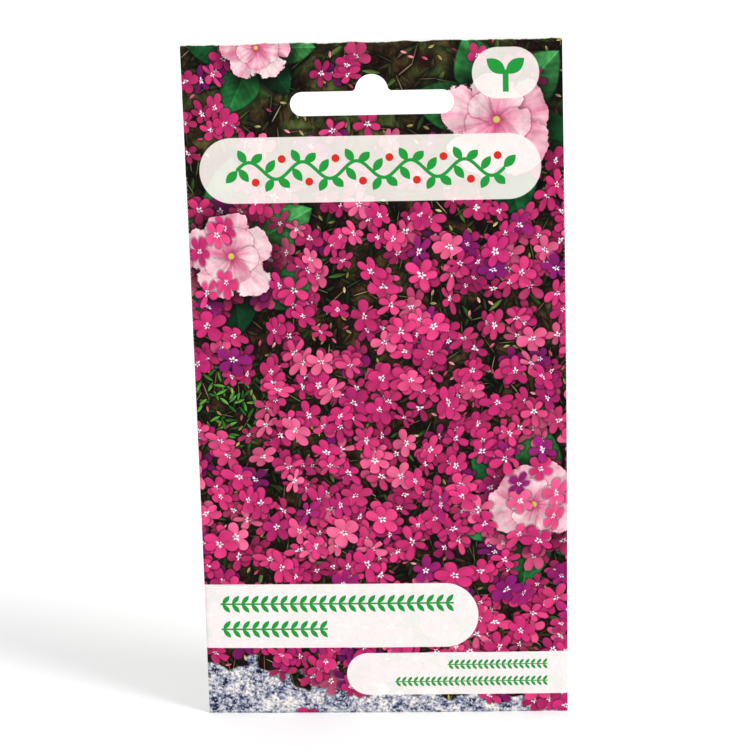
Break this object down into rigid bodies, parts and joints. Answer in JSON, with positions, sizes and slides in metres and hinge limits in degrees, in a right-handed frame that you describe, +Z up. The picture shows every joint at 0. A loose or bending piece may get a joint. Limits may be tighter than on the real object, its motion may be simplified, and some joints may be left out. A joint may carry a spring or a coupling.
{
  "type": "seed packet",
  "caption": "Folded paper seed packet with a punched hang slot in its flat header, printed with a flower pattern, standing on its opened bottom fold.",
  "frame": {"origin": "middle of the foot, at the bottom of the packet", "axes": "+Z up towards the header, +X to the right seen from the front, the printed front faces -Y"},
  "size_m": [0.075, 0.0061, 0.14],
  "materials": {
    "printed_paper": "printed and satin coated",
    "back_paper": "satin coated",
    "glue": "dried",
    "film": "clear film",
    "seed_coat": "clay pellet"
  },
  "bodies": {
    "root": {"front_panel": "printed_paper", "back_panel": "back_paper", "foot_panel": "printed_paper", "bottom_flap": "printed_paper", "left_flap": "printed_paper", "right_flap": "printed_paper", "left_flap_glue": "glue", "right_flap_glue": "glue", "bottom_flap_glue": "glue", "header_glue": "glue", "sachet_front_film": "film", "sachet_back_film": "film", "seeds": "seed_coat"}
  },
  "joints": []
}
